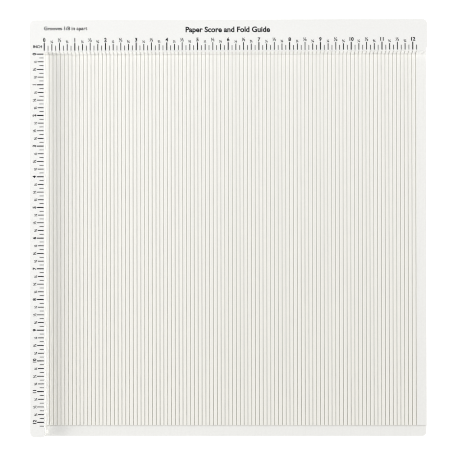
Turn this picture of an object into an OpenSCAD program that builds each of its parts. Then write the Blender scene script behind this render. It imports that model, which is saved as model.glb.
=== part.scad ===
// Paper scoring board: a flat moulded board with a grooved bed. Raised rails along the
// back and left edges square the paper up and carry printed inch scales. Nine rubber
// feet are stuck into bosses underneath.
// X runs to the right, Y to the back and Z up. The origin is on the table, under the
// middle of the board.

/* [Ruling] */
// Number of grooves across the bed, which is also the last mark on the back rail
across_n = 97; // [48:1:120]
// Number of divisions on the left rail, from the back of the bed to the front
down_n = 97; // [48:1:120]
// Distance from one groove, or mark, to the next
pitch = 3.175; // [2.5:0.005:4]
// Marks to one numbered unit
per_unit = 8; // [4:1:10]
// Width of a groove
groove_w = 0.7; // [0.4:0.05:1.2]
// Depth of a groove, in the bed and up the back rail's slope alike
groove_d = 0.7; // [0.3:0.05:1]

/* [Board] */
// Height of the bed above the table
bed_z = 8.7; // [7.5:0.1:20]
// Height of both rails above the bed
rail_h = 4; // [2.5:0.1:8]
// Width of the left rail, from the board's edge to the zero line
left_rail_w = 12; // [10:0.1:20]
// Depth of the back rail, from the zero line to the board's edge
back_rail_w = 28.2; // [26:0.1:50]
// Bed between the zero line and the foot of the back rail's slope
zero_gap = 0.4; // [0:0.1:2]
// How far back the slope in front of the back rail runs
slope_run = 1.6; // [0.5:0.1:4]
// Plain border to the right of the last groove
right_border = 8.7; // [5:0.1:30]
// Bed between the last mark and the step down to the front lip
lip_gap = 0.3; // [0:0.1:5]
// Depth of the front lip
lip_w = 9.1; // [4:0.1:20]
// How far the front lip lies below the grooves' floors, so that they run out over it
lip_under = 0.2; // [0.1:0.05:0.5]
// Radius of the board's back and front left corners
corner_r = 4; // [3:0.5:6]
// Radius of the board's front right corner
front_corner_r = 3.5; // [3:0.5:6]
// Radius of the back rail's corner over the right border
rail_end_r = 6; // [3:0.5:8]
// Radius of the left rail's inner corner at the front edge
rail_nose_r = 1.5; // [1:0.5:4]

/* [Underside] */
// Thickness of the moulded skin
skin = 2.5; // [1.8:0.1:4]
// Thickness of the outer skirt
skirt_t = 2; // [1.5:0.1:4]
// Thickness of a stiffening rib
rib_t = 1.5; // [1:0.1:3]
// Widest cell between two ribs
cell_max = 29; // [20:1:33]
// How far the ribs stop short of the skirt's edge
rib_short = 1; // [0.5:0.1:2]
// Wall of a boss, around the recess that takes a foot
boss_wall = 1.8; // [1:0.1:3]
// Distance of the outer feet from the board's sides
foot_in_x = 22; // [20:0.5:60]
// Distance of the outer feet from the board's front and back
foot_in_y = 14; // [11:0.5:17]

/* [Feet] */
// Diameter of a rubber foot
foot_d = 12; // [8:0.5:15]
// How far a foot stands out below the skirt
foot_drop = 1; // [0.5:0.1:3]
// Width of the bevel around a foot's sole
foot_bevel = 0.5; // [0.2:0.1:0.8]
// Depth of the recess that a foot sits in
recess_d = 1.2; // [0.8:0.1:1.6]
// Gap around a foot in its recess
foot_gap = 0.2; // [0.1:0.05:0.5]
// Thickness of the adhesive disc above a foot
disc_t = 0.2; // [0.1:0.05:0.5]
// How much smaller than the foot the adhesive disc is, all round
disc_in = 0.4; // [0.2:0.1:1]

/* [Print] */
// Thickness of the printed ink
ink_t = 0.05; // [0.02:0.01:0.2]
// Gap from the top of the slope to the marks on the back rail
mark_gap = 0.9; // [0.7:0.1:3]
// Gap from the zero line to the marks on the left rail
side_mark_gap = 0.6; // [0.2:0.1:1]
// Lengths of the back rail's marks: whole and half units, quarters, all others
back_mark_l = [6.5, 5.3, 4]; // [2:0.1:8]
// Lengths of the left rail's marks, in the same order
left_mark_l = [5.6, 4.9, 3.4]; // [2:0.1:8]
// Widths of the marks: whole units, half units, quarters, all others
mark_widths = [0.9, 0.7, 0.75, 0.55]; // [0.2:0.05:1]
// Height of a printed numeral
numeral_h = 2.8; // [2:0.1:4]
// Width of a printed numeral
numeral_w = 1.9; // [1.4:0.1:3]
// Thickness of a numeral's strokes
stroke = 0.5; // [0.3:0.05:0.7]
// Gap from a mark's end to its numeral
numeral_gap = 0.9; // [0.3:0.1:2]
// Height of a letter of the unit's name
label_h = 2.2; // [2:0.1:4]
// Width of a letter of the unit's name
label_w = 1.35; // [1.2:0.05:3]
// Gap from the zero mark to the unit's name
label_gap = 1.6; // [0.5:0.1:3]
// How far behind the marks' feet the unit's name stands
label_up = 2.2; // [0:0.1:4]

/* [Hidden] */
$fn = 48;
row_names = ["front", "middle", "back"];
column_names = ["left", "centre", "right"];
feet = [for (row = [0:2], column = [0:2]) [column, row]];

// Lines that the whole board is set out from
board_w = left_rail_w + across_n * pitch + right_border;
board_l = back_rail_w + down_n * pitch + lip_gap + lip_w;
left_x = -board_w / 2;
right_x = board_w / 2;
front_y = -board_l / 2;
back_y = board_l / 2;
zero_x = left_x + left_rail_w;
zero_y = back_y - back_rail_w;
step_y = front_y + lip_w;
foot_line_y = zero_y + zero_gap;
rail_y = foot_line_y + slope_run;
rail_z = bed_z + rail_h;
skirt_z = foot_drop;
corner_radii = [corner_r, front_corner_r, corner_r, corner_r];
rib_z = skirt_z + rib_short;
lip_z = bed_z - groove_d - lip_under;
bed_roof = bed_z - skin;
rail_roof = rail_z - skin;
slope_a = atan2(rail_h, slope_run);
// Back of the wall under the slope, which is as thick as the skin
slope_inner_y = foot_line_y + (skin + (rail_roof - bed_z) * cos(slope_a)) / sin(slope_a);

// The outer feet's centres, and the recess that each foot sits in
foot_x = [left_x + foot_in_x, 0, right_x - foot_in_x];
foot_y = [front_y + foot_in_y, 0, back_y - foot_in_y];
recess_r = foot_d / 2 + foot_gap;
recess_z = skirt_z + recess_d;
foot_top = recess_z - disc_t;

// Cells between the ribs: bed columns and rows, then the two that run under the rails
bed_cols = ceil((right_x - skirt_t - zero_x + rib_t) / (cell_max + rib_t));
bed_rows = ceil((foot_line_y - front_y - skirt_t + rib_t) / (cell_max + rib_t));
col_pitch = (right_x - skirt_t - zero_x + rib_t) / bed_cols;
row_pitch = (foot_line_y - front_y - skirt_t + rib_t) / bed_rows;
bed_col_spans = [for (i = [0:bed_cols - 1]) let (x = zero_x + i * col_pitch) [x, x + col_pitch - rib_t]];
bed_row_spans = [
    for (i = [0:bed_rows - 1]) let (y = front_y + skirt_t + i * row_pitch) [y, y + row_pitch - rib_t]
];
rail_col_span = [left_x + skirt_t, zero_x - skin];
rail_row_span = [slope_inner_y, back_y - skirt_t];

function foot_name(f) = str(row_names[f[1]], "_", column_names[f[0]]);
function groove_x(i) = zero_x + i * pitch;

// Which of four kinds a mark is: whole unit, half unit, quarter or other
function mark_kind(i) =
    i % per_unit == 0 ? 0 : i % per_unit == per_unit / 2 ? 1 : i % (per_unit / 2) == per_unit / 4 ? 2 : 3;

// A rectangle from one corner to the other, with its own radius at each corner:
// front left, front right, back right, back left
module rounded_plate(low, high, radii) {
    centres = [
        low + [radii[0], radii[0]],
        [high.x - radii[1], low.y + radii[1]],
        high - [radii[2], radii[2]],
        [low.x + radii[3], high.y - radii[3]]
    ];
    for (i = [0:3]) translate(centres[i]) circle(r = radii[i]);
    polygon([
        [centres[0].x, low.y], [centres[1].x, low.y],
        [high.x, centres[1].y], [high.x, centres[2].y],
        [centres[2].x, high.y], [centres[3].x, high.y],
        [low.x, centres[3].y], [low.x, centres[0].y]
    ]);
}

// A closed outline that is drawn from front to back and stands up, swept along X
module sweep_x(x_from, x_to) {
    translate([x_from, 0, 0]) rotate([90, 0, 90]) linear_extrude(height = x_to - x_from) children();
}

// The board's outer form before anything is taken from it
module blank() {
    translate([0, 0, skirt_z]) linear_extrude(height = rail_z - skirt_z)
        rounded_plate([left_x, front_y], [right_x, back_y], corner_radii);
}

// The space over the bed, the slope and the front lip
module bed_space() {
    over = 2;
    sweep_x(zero_x, right_x + over) polygon([
        [front_y - over, lip_z], [step_y, lip_z], [step_y, bed_z],
        [foot_line_y, bed_z], [rail_y, rail_z], [rail_y, rail_z + over], [front_y - over, rail_z + over]
    ]);
}

// What rounds off the back rail's end over the right border
module rail_end_space() {
    over = 2;
    translate([0, 0, bed_z]) linear_extrude(height = rail_h + over) difference() {
        translate([right_x - rail_end_r, foot_line_y - over]) square([rail_end_r + over, rail_end_r + over]);
        translate([right_x - rail_end_r, foot_line_y + rail_end_r]) circle(r = rail_end_r);
    }
}

// What rounds off the left rail's inner corner at the front edge
module rail_nose_space() {
    over = 2;
    translate([0, 0, lip_z]) linear_extrude(height = rail_z - lip_z + over) difference() {
        translate([zero_x - rail_nose_r, front_y - over]) square([rail_nose_r + over, rail_nose_r + over]);
        translate([zero_x - rail_nose_r, front_y + rail_nose_r]) circle(r = rail_nose_r);
    }
}

// The grooves. Each is open at the front, where the bed steps down to the lip. At the back it
// turns up the slope at the same depth and runs out through the rail's top.
module grooves() {
    over = 1;
    floor_z = bed_z - groove_d;
    turn_y = foot_line_y + groove_d * tan(slope_a / 2);
    end_y = turn_y + (rail_z + over - floor_z) / tan(slope_a);
    for (i = [1:across_n]) sweep_x(groove_x(i) - groove_w / 2, groove_x(i) + groove_w / 2) polygon([
        [step_y - over, floor_z], [turn_y, floor_z], [end_y, rail_z + over], [step_y - over, rail_z + over]
    ]);
}

// The shallow space inside the skirt that the ribs stop short of
module inside_skirt() {
    linear_extrude(height = rib_z) rounded_plate(
        [left_x + skirt_t, front_y + skirt_t], [right_x - skirt_t, back_y - skirt_t],
        [for (r = corner_radii) max(r - skirt_t, 0.5)]
    );
}

// Hollow cells under one block of columns and rows, up to one roof
module cells(cols, rows, roof) {
    for (c = cols, r = rows)
        translate([c[0], r[0], 0]) cube([c[1] - c[0], r[1] - r[0], roof]);
}

module bosses() {
    for (f = feet)
        translate([foot_x[f.x], foot_y[f.y], skirt_z])
            cylinder(r = recess_r + boss_wall, h = (f.y == 2 ? rail_roof : bed_roof) - skirt_z + skin / 2);
}

// The board is one moulding, because the grooves run unbroken from the bed up the rail
module board_moulding() {
    color("white") difference() {
        union() {
            difference() {
                blank();
                bed_space();
                rail_end_space();
                rail_nose_space();
                grooves();
                inside_skirt();
                cells(bed_col_spans, bed_row_spans, bed_roof);
                cells([rail_col_span], bed_row_spans, rail_roof);
                cells(concat([rail_col_span], bed_col_spans), [rail_row_span], rail_roof);
            }
            bosses();
        }
        for (f = feet)
            translate([foot_x[f.x], foot_y[f.y], 0]) cylinder(r = recess_r, h = recess_z);
    }
}

module foot(f) {
    r = foot_d / 2;
    color("dimgray") translate([foot_x[f.x], foot_y[f.y], 0]) rotate_extrude()
        polygon([[0, 0], [r - foot_bevel, 0], [r, foot_bevel], [r, foot_top], [0, foot_top]]);
}

module adhesive(f) {
    color("gainsboro") translate([foot_x[f.x], foot_y[f.y], foot_top])
        cylinder(r = foot_d / 2 - disc_in, h = disc_t);
}

// Marks that stand on the line y = 0, from the zero mark along X, or against it if way is -1
module marks(n, way, lengths) {
    color("black") for (i = [0:n]) {
        w = mark_widths[mark_kind(i)];
        translate([way * i * pitch - w / 2, 0, 0]) cube([w, lengths[max(mark_kind(i) - 1, 0)], ink_t]);
    }
}

// A straight stroke of a numeral or letter
module bar(from, to) {
    run = to - from;
    translate([from.x, from.y, 0]) rotate([0, 0, atan2(run.y, run.x)])
        translate([0, -stroke / 2, 0]) cube([norm(run), stroke, ink_t]);
}

// A round stroke
module bow(centre, radius, a_from, a_to) {
    translate([centre.x, centre.y, 0]) rotate([0, 0, a_from]) rotate_extrude(angle = a_to - a_from)
        translate([radius - stroke / 2, 0]) square([stroke, ink_t]);
}

// One numeral, centred on X = 0 and standing on Y = 0
module digit(d) {
    w = numeral_w / 2 - stroke / 2;
    low = stroke / 2;
    high = numeral_h - stroke / 2;
    small = (high - low) / 4;
    if (d == 0) {
        bow([0, low + w], w, 180, 360);
        bow([0, high - w], w, 0, 180);
        for (side = [-1, 1]) bar([side * w, low + w], [side * w, high - w]);
    }
    if (d == 1) {
        bar([0, 0], [0, numeral_h]);
        bar([0, high], [-w, high - w]);
    }
    if (d == 2) {
        bow([0, high - w], w, -40, 180);
        bar([w * cos(40), high - w - w * sin(40)], [-w, low]);
        bar([-w - low, low], [w + low, low]);
    }
    if (d == 3) for (y = [low + small, high - small]) bow([0, y], small, -150, 150);
    if (d == 4) {
        bar([w / 2, 0], [w / 2, numeral_h]);
        bar([w / 2, high], [-w, low + w]);
        bar([-w - low, low + w], [w + low, low + w]);
    }
    if (d == 5) {
        bow([0, low + w], w, -150, 120);
        bar([-w, low + w], [-w, high]);
        bar([-w - low, high], [w, high]);
    }
    if (d == 6 || d == 9) translate([0, numeral_h / 2, 0]) rotate([0, 0, d == 9 ? 180 : 0])
        translate([0, -numeral_h / 2, 0]) {
            bow([0, low + w], w, 0, 360);
            bar([-w, low + w], [-w, high - w]);
            bow([0, high - w], w, 60, 180);
        }
    if (d == 7) {
        bar([-w - low, high], [w + low, high]);
        bar([w, high], [-w / 2, 0]);
    }
    if (d == 8) for (y = [low + small, high - small]) bow([0, y], small, 0, 360);
}

// A number under 100, centred on X = 0
module numeral(n) {
    step = numeral_w + stroke / 2;
    if (n < 10) digit(n);
    else {
        translate([-step / 2, 0, 0]) digit(floor(n / 10));
        translate([step / 2, 0, 0]) digit(n % 10);
    }
}

// Numerals over the marks at whole units
module numerals(n, way, lengths) {
    color("black") for (i = [0:floor(n / per_unit)])
        translate([way * i * per_unit * pitch, lengths[0] + numeral_gap, 0]) numeral(i);
}

// The unit's name in capitals, from X = 0 to the left
module inch_label() {
    w = label_w - stroke;
    low = stroke / 2;
    high = label_h - stroke / 2;
    step = label_w + stroke;
    color("black") translate([-3 * step - label_w / 2, 0, 0]) {
        bar([0, 0], [0, label_h]);
        translate([step, 0, 0]) {
            for (x = [-w, w] / 2) bar([x, 0], [x, label_h]);
            bar([-w / 2, high], [w / 2, low]);
        }
        translate([2 * step, 0, 0]) {
            bow([0, high - w / 2], w / 2, 10, 180);
            bow([0, low + w / 2], w / 2, 180, 350);
            bar([-w / 2, low + w / 2], [-w / 2, high - w / 2]);
        }
        translate([3 * step, 0, 0]) {
            for (x = [-w, w] / 2) bar([x, 0], [x, label_h]);
            bar([-w / 2, label_h / 2], [w / 2, label_h / 2]);
        }
    }
}

// The back rail's print starts at its zero mark and reads to the right
module on_back_rail() {
    translate([zero_x, rail_y + mark_gap, rail_z]) children();
}

// The left rail's print is turned, so that it reads from the front of the board to the back
module on_left_rail() {
    translate([zero_x - side_mark_gap, zero_y, rail_z]) rotate([0, 0, 90]) children();
}

board_moulding();
for (f = feet) foot(f);
for (f = feet) adhesive(f);
on_back_rail() marks(across_n, 1, back_mark_l);  // back_marks
on_left_rail() marks(down_n, -1, left_mark_l);  // left_marks
on_back_rail() numerals(across_n, 1, back_mark_l);  // back_numerals
on_left_rail() numerals(down_n, -1, left_mark_l);  // left_numerals
on_back_rail() translate([-label_gap, label_up, 0]) inch_label();  // unit_label
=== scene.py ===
import math

import bmesh
import bpy
from mathutils import Matrix, Vector


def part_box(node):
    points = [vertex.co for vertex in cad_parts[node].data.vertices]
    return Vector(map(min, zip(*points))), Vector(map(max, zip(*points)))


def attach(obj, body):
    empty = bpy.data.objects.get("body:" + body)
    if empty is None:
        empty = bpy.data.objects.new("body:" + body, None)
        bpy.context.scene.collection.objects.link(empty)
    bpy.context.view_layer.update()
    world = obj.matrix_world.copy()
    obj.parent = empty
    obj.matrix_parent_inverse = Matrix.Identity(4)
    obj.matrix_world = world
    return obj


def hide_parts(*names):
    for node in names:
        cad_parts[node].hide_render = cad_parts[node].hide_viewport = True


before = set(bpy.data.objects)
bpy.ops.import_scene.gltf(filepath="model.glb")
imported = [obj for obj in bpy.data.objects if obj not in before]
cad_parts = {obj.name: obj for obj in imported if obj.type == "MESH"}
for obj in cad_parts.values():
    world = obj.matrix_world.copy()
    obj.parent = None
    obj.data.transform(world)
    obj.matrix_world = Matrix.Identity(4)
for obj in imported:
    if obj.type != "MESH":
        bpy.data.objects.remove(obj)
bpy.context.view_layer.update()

mm = 0.001
scene = bpy.context.scene
print("frame loaded:", len(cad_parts), "nodes")


class Wire:
    # a node's output that sums can be written with
    def __init__(self, shader, socket):
        self.shader = shader
        self.socket = socket

    def sum(self, operation, first, second):
        return self.shader.node("Math", {"operation": operation}, {0: first, 1: second})

    def __add__(self, other):
        return self.sum("ADD", self, other)

    __radd__ = __add__

    def __sub__(self, other):
        return self.sum("SUBTRACT", self, other)

    def __rsub__(self, other):
        return self.sum("SUBTRACT", other, self)

    def __mul__(self, other):
        return self.sum("MULTIPLY", self, other)

    __rmul__ = __mul__

    def __truediv__(self, other):
        return self.sum("DIVIDE", self, other)

    def __gt__(self, other):
        return self.sum("GREATER_THAN", self, other)

    def __lt__(self, other):
        return self.sum("LESS_THAN", self, other)


class Nodes:
    # the node tree of a material or of the world
    def __init__(self, owner):
        owner.use_nodes = True
        self.nodes = owner.node_tree.nodes
        self.links = owner.node_tree.links

    def node(self, kind, settings=None, values=None, out=0):
        made = self.nodes.new("ShaderNode" + kind)
        for name, value in (settings or {}).items():
            setattr(made, name, value)
        for name, value in (values or {}).items():
            if isinstance(value, Wire):
                self.links.new(value.socket, made.inputs[name])
            else:
                made.inputs[name].default_value = value
        return Wire(self, made.outputs[out])

    def show(self, wire, output):
        self.links.new(wire.socket, self.nodes[output].inputs["Surface"])


class Shader(Nodes):
    # a new material, with its constants set on the shader itself
    def __init__(self, name, **constants):
        self.material = bpy.data.materials.new(name)
        super().__init__(self.material)
        self.finish = self.nodes["Principled BSDF"]
        for socket, value in constants.items():
            self.finish.inputs[socket.replace("_", " ")].default_value = value
        self.place = self.node("TexCoord", out="Object")

    def axis(self, name):
        return self.node("SeparateXYZ", None, {0: self.place}, name)

    def noise(self, size, detail=2.0, stretch=(1, 1, 1)):
        # size is how far apart its spots are, in metres
        spread = self.node("Mapping", {"vector_type": "POINT"}, {"Vector": self.place, "Scale": stretch})
        return self.node("TexNoise", None, {"Vector": spread, "Scale": 1 / size, "Detail": detail})

    def ramp(self, value, low, high):
        # 0 under low, 1 over high
        return self.node("MapRange", {"clamp": True}, {"Value": value, "From Min": low, "From Max": high})

    def mix(self, share, first, second):
        return self.node("Mix", {"data_type": "RGBA"}, {0: share, 6: first, 7: second}, 2)

    def bump(self, height, distance, strength=1.0):
        return self.node("Bump", None, {"Height": height, "Distance": distance, "Strength": strength})

    def set(self, socket, wire):
        self.links.new(wire.socket, self.finish.inputs[socket])


def rgb(red, green, blue):
    return (red, green, blue, 1)


def makePiece(name, bm, material, slot, *nodes):
    mesh = bpy.data.meshes.new(name)
    bm.to_mesh(mesh)
    bm.free()
    piece = bpy.data.objects.new(name, mesh)
    scene.collection.objects.link(piece)
    mesh.materials.append(material)
    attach(piece, "root")
    if nodes:
        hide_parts(*nodes)
    return piece


board = {
    "weld": 0.002 * mm,
    "flatAngle": 1.0,
    "sharpAngle": 30.0,
    "leftRail": 12 * mm,        # board's left edge to the zero line
    "backRail": 28.2 * mm,      # zero line to the board's back edge
    "zeroGap": 0.4 * mm,        # zero line to the slope's foot
    "slopeRun": 1.6 * mm,
    "bed": 8.7 * mm,
    "rail": 12.7 * mm,
    "lip": 7.8 * mm,
    "lipDepth": 9.1 * mm,
    "grooveDepth": 0.7 * mm,
    "pitch": 3.175 * mm,
    "cornerReach": 7 * mm,      # how far a rounded corner of the outline reaches along its sides
    "outerRound": 0.8 * mm,
    "outerSteps": 3,
    "grooveRound": 0.12 * mm,
    "grooveSteps": 2,
    "flatness": 100,            # how much more a wide face counts than the rounded edge beside it
}
low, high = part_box("board_moulding")
zeroX = low.x + board["leftRail"]
zeroY = high.y - board["backRail"]
stepY = low.y + board["lipDepth"]
footY = zeroY + board["zeroGap"]
railY = footY + board["slopeRun"]
near = 0.02 * mm                # slack when two places are compared

# the board's own colours, with its painted shade and painted light
boardColourAndShade = {
    "plainLeft": 2.6 * mm,      # bed beside the left rail that holds no groove
    "plainRight": 8 * mm,
    # painted shade in the grooves
    "grooveShade": 0.56,
    "lean": 0.9 / mm,           # how much more painted shade per mm to the right of a groove's middle
    "backShare": 0.4,           # at the back, as a share of the painted shade and warm tint at the front
    "leastGrooveShade": 0.35,         # added to that share for a groove's painted shade
    "cornerShadeReach": 1.3 * mm,    # how far the painted shade reaches from the steps
    # strength of the painted shade under the front step and at the slope's foot
    "frontStepShade": 0.5,
    "backStepShade": 0.15,
    # painted highlight beside each groove, from a groove's middle: where it starts, is full, is still full
    # and ends
    "edgeHighlightBand": (0.35 * mm, 0.55 * mm, 0.85 * mm, 1.15 * mm),
    "cloudSize": 60 * mm,
    "mottleSize": 1.6 * mm,
    "scuffSize": 1.2 * mm,
    "scuffStretch": (1, 0.04, 1),
    "grainSize": 0.28 * mm,
    "rail": (rgb(0.92, 0.92, 0.9), rgb(0.9, 0.897, 0.875)),
    "bed": (rgb(0.925, 0.922, 0.893), rgb(0.905, 0.9, 0.868)),
    "warmFrontTint": rgb(0.928, 0.908, 0.838),
    "mottle": rgb(0.86, 0.855, 0.83),
    "scuff": rgb(0.84, 0.83, 0.8),
    "slope": rgb(0.97, 0.965, 0.945),
    "edgeHighlight": rgb(0.98, 0.975, 0.925),
    # colour of the painted shade
    "paintedShade": rgb(0.52, 0.5, 0.45),
}


def boardPlastic():
    look = boardColourAndShade
    s = Shader("satinWhitePlastic", Specular_IOR_Level=0.4, IOR=1.49)
    x, y, z = s.axis("X"), s.axis("Y"), s.axis("Z")
    below = s.ramp(z, board["rail"] - near, board["rail"] - 0.2 * mm)
    across = (x > zeroX + look["plainLeft"]) * (x < high.x - look["plainRight"])
    ruled = across * (y > stepY + near) * (y < railY + near)
    # how far a point lies under the bed or the slope, as a share of a groove's depth
    surface = board["bed"] + (board["rail"] - board["bed"]) * s.ramp(y, footY, railY)
    depth = s.ramp((surface - z) / board["grooveDepth"], 0.1, 1.0) * ruled * (z > board["lip"] + near)
    # distance to the right of the nearest groove's middle
    half = board["pitch"] / 2
    side = s.node("Math", {"operation": "WRAP"}, {0: x - zeroX, 1: half, 2: -half})
    away = s.node("Math", {"operation": "ABSOLUTE"}, {0: side})
    # painted shade: darker in the grooves, more of it towards the front and to the right of each groove's
    # middle, and in the corners under the two steps
    # share of the painted shade and painted warm tint, rising towards the front
    towardsFront = look["backShare"] + (1 - look["backShare"]) * s.ramp(y, zeroY, stepY)
    grooveShade = depth * (towardsFront + look["leastGrooveShade"]) * (look["grooveShade"] + side * look["lean"])
    shadeReach = look["cornerShadeReach"]
    # painted shade in the corners under the front step and at the slope's foot
    frontCorner = s.ramp(y, stepY - shadeReach, stepY) * (y < stepY + near) * (z < board["lip"] + near)
    backCorner = s.ramp(y, footY - shadeReach, footY) * (y < footY + near) * (z > board["bed"] - near)
    stepShade = (frontCorner * look["frontStepShade"] + backCorner * look["backStepShade"]) * (x > zeroX)
    # painted highlight in a band on each side of a groove
    starts, rises, falls, ends = look["edgeHighlightBand"]
    edgeHighlight = s.ramp(away, starts, rises) * s.ramp(away, ends, falls) * ruled * (y < footY)
    cloud = s.noise(look["cloudSize"], 3.0)
    mottle = s.noise(look["mottleSize"], 3.0)
    scuff = s.noise(look["scuffSize"], 2.0, look["scuffStretch"])
    grain = s.noise(look["grainSize"], 2.0)
    # painted light: rail tops and bed are one plastic, but the bed is tinted warmer and a touch lighter
    colour = s.mix(below, s.mix(cloud, *look["rail"]), s.mix(cloud, *look["bed"]))
    # painted light: the ruled bed tinted warmer towards the front
    colour = s.mix(towardsFront * ruled * below, colour, look["warmFrontTint"])
    colour = s.mix(s.ramp(mottle, 0.35, 0.65) * 0.35, colour, look["mottle"])
    colour = s.mix(s.ramp(scuff, 0.5, 0.75) * below * 0.3, colour, look["scuff"])
    # painted light: the slope made lighter than the bed, as lit from the front
    colour = s.mix((y > footY - near) * below * 0.7, colour, look["slope"])
    colour = s.mix(edgeHighlight * 0.7, colour, look["edgeHighlight"])
    # painted shade, in the grooves and in the corners under the steps
    colour = s.mix(grooveShade + stepShade, colour, look["paintedShade"])
    s.set("Base Color", colour)
    s.set("Roughness", 0.4 + 0.12 * cloud + 0.1 * mottle + 0.12 * depth)
    s.set("Normal", s.bump(grain + 0.5 * mottle, 0.02 * mm, 0.6))
    return s.material


def makeBoard():
    bm = bmesh.new()
    bm.from_mesh(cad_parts["board_moulding"].data)
    bmesh.ops.remove_doubles(bm, verts=bm.verts, dist=board["weld"])
    bmesh.ops.dissolve_limit(bm, angle_limit=math.radians(board["flatAngle"]),
                             verts=bm.verts, edges=bm.edges)

    def isSharp(edge):
        return edge.is_manifold and edge.calc_face_angle(0) > math.radians(board["sharpAngle"])

    def middle(edge):
        return (edge.verts[0].co + edge.verts[1].co) / 2

    def isOuter(edge):
        c = middle(edge)
        atSide = any(abs(v.co.x - side) < near for v in edge.verts for side in (low.x, high.x))
        atEnd = any(abs(v.co.y - end) < near for v in edge.verts for end in (low.y, high.y))
        level = abs(edge.verts[0].co.z - edge.verts[1].co.z) < near
        return level and c.z > board["lip"] - near and (atSide or atEnd or isCorner(c))

    def isCorner(c):
        return max(min(c.x - low.x, high.x - c.x), min(c.y - low.y, high.y - c.y)) < board["cornerReach"]

    outer = [e for e in bm.edges if isSharp(e) and isOuter(e)]
    print("board: outer edges", len(outer))
    bmesh.ops.bevel(bm, geom=outer, offset=board["outerRound"], offset_type="OFFSET",
                    segments=board["outerSteps"], profile=0.5, affect="EDGES", material=-1,
                    clamp_overlap=True)
    fine = [e for e in bm.edges if isSharp(e)]
    print("board: other edges", len(fine))
    bmesh.ops.bevel(bm, geom=fine, offset=board["grooveRound"], offset_type="OFFSET",
                    segments=board["grooveSteps"], profile=0.5, affect="EDGES", material=-1,
                    clamp_overlap=True)
    for face in bm.faces:
        face.smooth = True
    print("board: faces", len(bm.faces), "open edges", sum(not e.is_manifold for e in bm.edges))
    return makePiece("boardBody", bm, boardPlastic(), "board", "board_moulding")


boardBody = makeBoard()
boardBody.data.set_sharp_from_angle(angle=math.radians(board["sharpAngle"]))
flatten = boardBody.modifiers.new("flatten", "WEIGHTED_NORMAL")
flatten.weight = board["flatness"]
flatten.keep_sharp = True


ink = {
    "inches": 12,
    "thick": 0.05 * mm,
    "weld": 0.0005 * mm,
    "curveSteps": 4,
    "backNumeral": 2.8 * mm,
    "sideNumeral": 2.6 * mm,
    "bold": 0.055,
    "fractionBold": 0.035,
    "backHalf": 2.7 * mm,
    "sideHalf": 2.4 * mm,
    "quarter": 2.1 * mm,
    "backFeet": 0.9 * mm,       # slope's top to the marks
    "sideFeet": 0.6 * mm,       # zero line to the marks
    "backMark": 6.5 * mm,
    "sideMark": 5.6 * mm,
    "backQuarter": 5.3 * mm,
    "sideQuarter": 4.9 * mm,
    "backGap": 0.9 * mm,        # a mark's end to its numeral
    "sideGap": 0.75 * mm,
    "label": 2.1 * mm,
    "labelBold": 0.045,
    "labelAt": (-1.7 * mm, 3.1 * mm),
    "heading": "Paper Score and Fold Guide",
    "headingHeight": 4.2 * mm,
    "headingBold": 0.045,
    "headingAt": (-0.4 * mm, 17.9 * mm),
    "note": "Grooves 1/8 in apart",
    "noteHeight": 2.9 * mm,
    "noteBold": 0.03,
    "noteAt": (-0.3 * mm, 19.8 * mm),
}


def printedInk():
    s = Shader("mattePrintedInk", Specular_IOR_Level=0.12)
    blotch = s.noise(0.7 * mm, 3.0)
    speck = s.noise(0.15 * mm, 2.0)
    worn = s.ramp(blotch * 0.6 + speck * 0.4, 0.55, 0.72)
    s.set("Base Color", s.mix(worn, rgb(0.016, 0.016, 0.018), rgb(0.06, 0.06, 0.062)))
    s.set("Roughness", 0.5 + 0.25 * blotch)
    s.set("Normal", s.bump(speck, 0.01 * mm, 0.5))
    return s.material


inkBlack = printedInk()
letterData = bpy.data.curves.new("letters", "FONT")
letterHolder = bpy.data.objects.new("letters", letterData)
scene.collection.objects.link(letterHolder)
capHeight = 0.682               # of the built-in letters, at size 1


def addText(bm, text, height, place, bold=0.0, align="CENTER"):
    letterData.body = text
    letterData.size = height / capHeight
    letterData.align_x = align
    letterData.offset = bold * height
    letterData.extrude = ink["thick"] / 2
    letterData.resolution_u = ink["curveSteps"]
    bpy.context.view_layer.update()
    flat = letterHolder.evaluated_get(bpy.context.evaluated_depsgraph_get())
    mesh = bpy.data.meshes.new_from_object(flat)
    mesh.transform(place @ Matrix.Translation((0, 0, ink["thick"] / 2)))
    bm.from_mesh(mesh)
    bpy.data.meshes.remove(mesh)


def backPlace(along, up):
    # along the back rail from its zero mark, and back from the top of the slope
    return Matrix.Translation((zeroX + along, railY + up, board["rail"]))


def leftPlace(along, up):
    # down the left rail from its zero mark, and away from the bed
    quarterTurn = Matrix.Rotation(math.radians(90), 4, "Z")
    return Matrix.Translation((zeroX - up, zeroY - along, board["rail"])) @ quarterTurn


def makePrint(name, entries, *nodes):
    bm = bmesh.new()
    for entry in entries:
        addText(bm, *entry)
    bmesh.ops.remove_doubles(bm, verts=bm.verts, dist=ink["weld"])
    return makePiece(name, bm, inkBlack, "ink", *nodes)


inch = 8 * board["pitch"]       # a groove every eighth


def makeScale(scale, place, feet, node):
    mark, quarterMark, gap = ink[scale + "Mark"], ink[scale + "Quarter"], ink[scale + "Gap"]
    numerals = [(str(i), ink[scale + "Numeral"], place(i * inch, feet + mark + gap), ink["bold"])
                for i in range(ink["inches"] + 1)]
    makePrint(scale + "Numerals", numerals, node)
    fractions = []
    for i in range(ink["inches"]):
        fractions.append(("½", ink[scale + "Half"], place((i + 0.5) * inch, feet + mark + gap),
                          ink["fractionBold"]))
        for part, text in ((0.25, "¼"), (0.75, "¾")):
            fractions.append((text, ink["quarter"], place((i + part) * inch, feet + quarterMark + gap),
                              ink["fractionBold"]))
    makePrint(scale + "Fractions", fractions)


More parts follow.
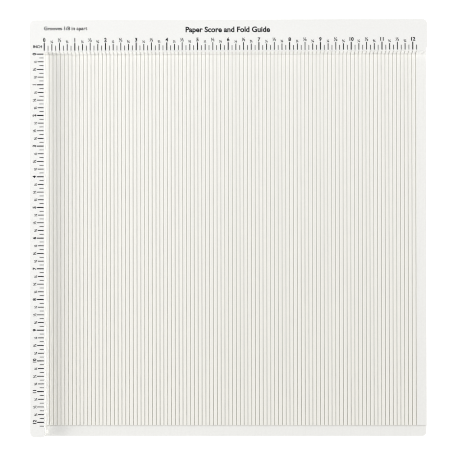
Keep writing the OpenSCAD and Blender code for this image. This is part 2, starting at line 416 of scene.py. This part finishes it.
makeScale("back", backPlace, ink["backFeet"], "back_numerals")
makeScale("side", leftPlace, ink["sideFeet"], "left_numerals")
makePrint("inchLabel", [("INCH", ink["label"], backPlace(*ink["labelAt"]), ink["labelBold"], "RIGHT")],
          "unit_label")
headingX, headingUp = ink["headingAt"]
noteX, noteUp = ink["noteAt"]
headingPlace = Matrix.Translation((headingX, zeroY + headingUp, board["rail"]))
notePlace = Matrix.Translation((zeroX + noteX, zeroY + noteUp, board["rail"]))
makePrint("heading", [(ink["heading"], ink["headingHeight"], headingPlace, ink["headingBold"])])
makePrint("note", [(ink["note"], ink["noteHeight"], notePlace, ink["noteBold"], "LEFT")])
bpy.data.objects.remove(letterHolder)
for node in ("back_marks", "left_marks"):
    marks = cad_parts[node]
    marks.data.materials.clear()
    marks.data.materials.append(inkBlack)
print("print done")


foot = {
    "round": 1.0 * mm,          # radius of the sole's edge
    "topRound": 0.2 * mm,
    "dish": 0.12 * mm,          # hollow in the middle of the sole
    "dishRadius": 2.2 * mm,
    "dishTurn": (0.7, 0.8),     # share of its radius and depth where its floor turns down to the rim
    "edgeSteps": 4,
    "steps": 48,
    "weld": 0.001 * mm,
    "sharpAngle": 50.0,
}


def footRubber():
    s = Shader("softRubber", Specular_IOR_Level=0.35)
    cloud = s.noise(3 * mm, 3.0)
    dust = s.noise(0.4 * mm, 3.0)
    dusty = s.ramp(dust, 0.5, 0.7)
    s.set("Base Color", s.mix(dusty * 0.5, rgb(0.045, 0.045, 0.047), rgb(0.11, 0.108, 0.104)))
    s.set("Roughness", 0.55 + 0.25 * cloud)
    s.set("Normal", s.bump(dust, 0.03 * mm, 0.6))
    return s.material


def adhesiveFoam():
    s = Shader("foamAdhesive", Roughness=0.9)
    cell = s.node("TexVoronoi", None, {"Vector": s.place, "Scale": 1 / (0.35 * mm)})
    s.set("Base Color", s.mix(s.ramp(cell, 0.1, 0.6), rgb(0.66, 0.64, 0.59), rgb(0.5, 0.48, 0.44)))
    s.set("Normal", s.bump(cell, 0.04 * mm, 0.8))
    return s.material


rubber = footRubber()
foam = adhesiveFoam()


def makeFoot(node):
    start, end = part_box(node)
    middle = (start + end) / 2
    radius = (end.y - start.y) / 2
    r = foot["round"]
    turnRadius, turnDepth = foot["dishTurn"]
    outline = [(0, foot["dish"]), (foot["dishRadius"] * turnRadius, foot["dish"] * turnDepth),
               (foot["dishRadius"], 0)]
    for step in range(foot["edgeSteps"] + 1):
        angle = math.radians(90 * step / foot["edgeSteps"])
        outline.append((radius - r + r * math.sin(angle), r - r * math.cos(angle)))
    outline += [(radius, end.z - foot["topRound"]), (radius - foot["topRound"], end.z), (0, end.z)]
    bm = bmesh.new()
    points = [bm.verts.new((middle.x + across, middle.y, up)) for across, up in outline]
    lines = [bm.edges.new(pair) for pair in zip(points, points[1:])]
    bmesh.ops.spin(bm, geom=points + lines, cent=(middle.x, middle.y, 0), axis=(0, 0, 1),
                   angle=math.tau, steps=foot["steps"], use_merge=True)
    bmesh.ops.remove_doubles(bm, verts=bm.verts, dist=foot["weld"])
    bmesh.ops.recalc_face_normals(bm, faces=bm.faces)
    for face in bm.faces:
        face.smooth = True
    bumper = makePiece(node.replace("foot_", "bumper_"), bm, rubber, "foot", node)
    bumper.data.set_sharp_from_angle(angle=math.radians(foot["sharpAngle"]))


for node in list(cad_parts):
    if node.startswith("foot_"):
        makeFoot(node)
    if node.startswith("adhesive_"):
        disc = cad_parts[node]
        disc.data.materials.clear()
        disc.data.materials.append(foam)
print("feet done")


studio = {
    "floorSize": 16.0,
    "floorGap": 0.1 * mm,       # keeps the floor off the feet's soles
    "floorGlow": 2.2,
    "floorSmoke": 0.5,          # how much light the glaze lets through
    "world": 0.2,
    "backdrop": 0.32,
    "softness": 1.0,
    # place, size across and up, power
    "lamps": {
        "leftSoftbox": ((-1.45, -0.1, 0.26), 1.1, 0.4, 24.9),
        "rightSoftbox": ((1.45, 0.1, 0.2), 1.1, 0.3, 17),
        "frontSoftbox": ((0.1, -3.0, 1.8), 2.4, 1.4, 38),
        "backSoftbox": ((-0.1, 0.9, 1.7), 1.1, 0.8, 16.2),
    },
    "cameraAt": (3.77 * mm, -1.117 * mm, 640 * mm),
    "cameraTurn": (0.1308, 0.3759, -0.0927),
    "lens": 59.917,
    "sensor": 36,
    "farthest": 50,             # metres that the camera sees
}


def glowingFloor():
    # a light table under a smoked glaze, which takes more of the glow at a low angle; clear from underneath
    s = Shader("smokedLightTable", Base_Color=rgb(0.3, 0.3, 0.3), Roughness=0.9, Coat_Weight=1,
               Coat_Tint=rgb(*[studio["floorSmoke"]] * 3), Coat_IOR=1.05, Coat_Roughness=0.8,
               Emission_Color=rgb(1, 1, 1), Emission_Strength=studio["floorGlow"])
    under = s.node("NewGeometry", None, None, "Backfacing")
    table = Wire(s, s.finish.outputs[0])
    clear = s.node("BsdfTransparent")
    s.show(s.node("MixShader", None, {0: under, 1: table, 2: clear}), "Material Output")
    return s.material


def makeRoom():
    # dim white all round for light, and a paler backdrop where the camera looks at it
    world = bpy.data.worlds.new("softRoom")
    room = Nodes(world)
    room.nodes.remove(room.nodes["Background"])
    light = room.node("Background", None, {"Color": rgb(1, 1, 1), "Strength": studio["world"]})
    backdrop = room.node("Background", None, {"Color": rgb(1, 1, 1), "Strength": studio["backdrop"]})
    seen = room.node("LightPath", None, None, "Is Camera Ray")
    room.show(room.node("MixShader", None, {0: seen, 1: light, 2: backdrop}), "World Output")
    scene.world = world


def makeFloor():
    bm = bmesh.new()
    bmesh.ops.create_grid(bm, x_segments=1, y_segments=1, size=studio["floorSize"] / 2)
    mesh = bpy.data.meshes.new("floor")
    bm.to_mesh(mesh)
    bm.free()
    floor = bpy.data.objects.new("floor", mesh)
    scene.collection.objects.link(floor)
    mesh.transform(Matrix.Translation((0, 0, -studio["floorGap"])))
    mesh.materials.append(glowingFloor())


def makeLamps():
    for name, (place, across, up, power) in studio["lamps"].items():
        light = bpy.data.lights.new(name, "AREA")
        light.shape = "RECTANGLE"
        light.size, light.size_y, light.energy = across, up, power
        lamp = bpy.data.objects.new(name, light)
        lamp.location = place
        towardsMiddle = -Vector(place)
        lamp.rotation_euler = towardsMiddle.to_track_quat("-Z", "Y").to_euler()
        scene.collection.objects.link(lamp)


def makeCamera():
    view = bpy.data.cameras.new("camera")
    view.lens = studio["lens"]
    view.sensor_width = studio["sensor"]
    view.clip_end = studio["farthest"]
    camera = bpy.data.objects.new("camera", view)
    camera.location = studio["cameraAt"]
    camera.rotation_euler = [math.radians(turn) for turn in studio["cameraTurn"]]
    scene.collection.objects.link(camera)
    scene.camera = camera
    scene.cycles.filter_width = studio["softness"]
    scene.view_settings.view_transform = "Standard"


makeFloor()
makeRoom()
makeLamps()
makeCamera()
print("stage done")
